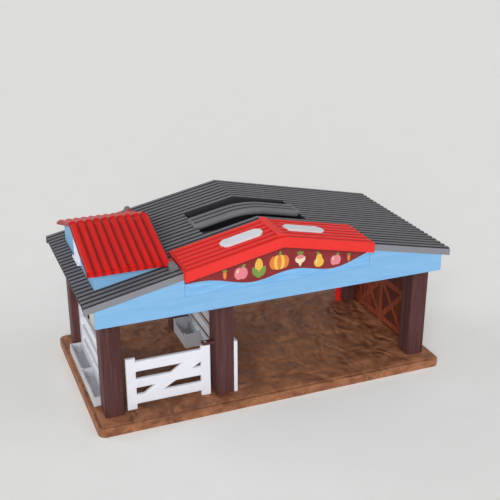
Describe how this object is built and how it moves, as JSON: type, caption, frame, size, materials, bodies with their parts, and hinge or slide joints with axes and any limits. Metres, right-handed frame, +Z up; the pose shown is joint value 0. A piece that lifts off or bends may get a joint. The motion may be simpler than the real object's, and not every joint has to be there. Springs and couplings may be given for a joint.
{
  "type": "toy barn",
  "caption": "Open toy barn on posts with a corrugated carry roof, hinged dormer hatch, swinging stall gate and a lit gable unit pressed by a roof window.",
  "frame": {"origin": "centre of the bounding box at the underside of the base", "axes": "+X to the right seen from the front, +Y from front to back, +Z up"},
  "size_m": [0.4, 0.214, 0.1887],
  "materials": {
    "earth": "matte",
    "post_brown": "wood grain moulding",
    "roof_grey": "satin",
    "sky_blue": "semi-gloss",
    "barn_red": "semi-gloss",
    "white": "semi-gloss",
    "pale_grey": "matte",
    "panel_print": "printed",
    "wall_print": "printed",
    "board_green": "solder mask",
    "black": "matte",
    "steel": "plated",
    "cell": "plain sleeve",
    "lamp": "clear"
  },
  "bodies": {
    "barn": {"base": "earth", "post_front_left": "post_brown", "post_front_middle": "post_brown", "post_front_right": "post_brown", "post_rear_left": "post_brown", "post_rear_middle": "post_brown", "post_rear_right": "post_brown", "side_fence": "white", "partition_fence": "white", "feed_trough": "pale_grey", "side_trough": "pale_grey", "side_wall": "post_brown", "wall_print": "wall_print", "red_pole": "barn_red", "roof_shell": "roof_grey", "hand_well": "roof_grey", "front_fascia": "sky_blue", "rear_fascia": "sky_blue", "light_panel": "panel_print", "canopy_shell": "barn_red", "window_left": "white", "push_switch": "black", "circuit_board": "board_green", "unit_tray": "roof_grey", "battery_case": "black", "battery_cells": "cell", "battery_door": "roof_grey", "light_strip": "board_green", "lamps": "lamp", "speaker": "black", "post_screws": "steel", "unit_screws": "steel", "dormer_walls": "sky_blue", "dormer_louvre": "white"},
    "gate": {"front_gate": "white"},
    "hatch": {"dormer_roof": "barn_red"},
    "key": {"button_key": "white", "switch_plunger": "black"}
  },
  "joints": [
    {"name": "gate_hinge", "type": "hinge", "parent": "barn", "child": "gate", "pos_m": [-0.076, -0.082, 0.04], "axis": [0, 0, 1], "range_deg": [-85, 100]},
    {"name": "hatch_hinge", "type": "hinge", "parent": "barn", "child": "hatch", "pos_m": [-0.108, 0, 0.16252], "axis": [0, 1, 0], "range_deg": [0, 70]},
    {"name": "key_press", "type": "slide", "parent": "barn", "child": "key", "axis": [-0.2055, 0, -0.9787], "range_m": [0, 0.001], "stiffness_N_per_m": 1500}
  ]
}
